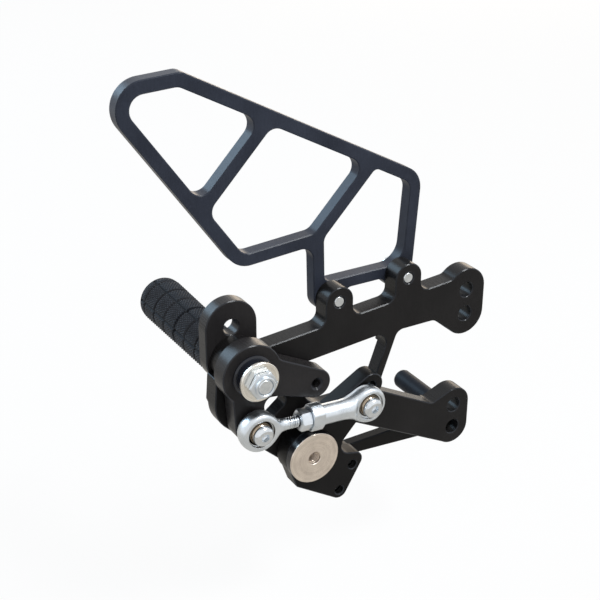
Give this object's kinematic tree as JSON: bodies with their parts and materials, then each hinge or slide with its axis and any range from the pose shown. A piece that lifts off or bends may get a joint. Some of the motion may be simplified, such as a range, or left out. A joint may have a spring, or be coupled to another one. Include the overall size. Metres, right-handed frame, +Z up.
{
  "type": "rear set footrest",
  "caption": "Motorcycle rear set: a milled side plate with a skeleton heel guard, a knurled footpeg and a gear shift lever that turns a bellcrank through a short link rod.",
  "frame": {"origin": "on the axis of the upper frame bolt hole, halfway through the side plate", "axes": "+X forwards along the machine, +Y outboard along the frame bolts and the footpeg, +Z up"},
  "size_m": [0.1988, 0.1169, 0.2345],
  "materials": {
    "black_anodised": "satin black anodised, bright on broken edges",
    "knurled_grip": "grey black anodised, knurled or smooth",
    "zinc_plated_steel": "bright zinc plate",
    "turned_steel": "fine turned face",
    "polished_steel": "polished",
    "bearing_bronze": "plain bearing surface"
  },
  "bodies": {
    "frame_side": {"main_bracket": "black_anodised", "heel_guard": "black_anodised", "heel_guard_screws": "zinc_plated_steel", "peg_mount_plate": "black_anodised", "footpeg": "knurled_grip", "footpeg_bolt": "zinc_plated_steel", "hub_sleeve": "polished_steel", "hub_thrust_washer": "bearing_bronze", "hub_collar": "black_anodised", "hub_washer": "zinc_plated_steel", "hub_nut": "zinc_plated_steel", "pivot_pin": "turned_steel", "pivot_thrust_washer": "bearing_bronze", "pivot_screw_washer": "zinc_plated_steel", "pivot_screw": "zinc_plated_steel"},
    "bellcrank": {"bellcrank": "black_anodised", "bellcrank_bush": "bearing_bronze", "bellcrank_rod_ball": "polished_steel", "bellcrank_rod_bolt": "zinc_plated_steel", "bellcrank_rod_washer": "zinc_plated_steel"},
    "link_rod": {"male_rod_end": "zinc_plated_steel", "rod_jam_nut": "zinc_plated_steel", "female_rod_end": "zinc_plated_steel"},
    "shift_rocker": {"rocker": "black_anodised", "rocker_bush": "bearing_bronze", "rocker_rod_ball": "polished_steel", "rocker_rod_bolt": "zinc_plated_steel", "rocker_rod_washer": "zinc_plated_steel", "toe_spacer": "black_anodised", "toe_lever": "black_anodised", "toe_lever_screws": "zinc_plated_steel", "toe_peg": "knurled_grip", "toe_peg_screw": "zinc_plated_steel"}
  },
  "joints": [
    {"name": "shift_lever_turn", "type": "hinge", "parent": "frame_side", "child": "shift_rocker", "pos_m": [-0.1026, 0, -0.0631], "axis": [0, 1, 0], "range_deg": [-8, 8]},
    {"name": "bellcrank_turn", "type": "hinge", "parent": "frame_side", "child": "bellcrank", "pos_m": [-0.1346, 0, -0.0083], "axis": [0, 1, 0], "range_deg": [-7.2, 7.2]},
    {"name": "rod_turn", "type": "hinge", "parent": "shift_rocker", "child": "link_rod", "pos_m": [-0.0724, -0.0214, -0.0395], "axis": [0, 1, 0], "range_deg": [-4.3, 4.3]}
  ],
  "couplings": [
    {"joint": "bellcrank_turn", "follows": "shift_lever_turn", "ratio": -0.886},
    {"joint": "rod_turn", "follows": "shift_lever_turn", "ratio": -0.524}
  ]
}
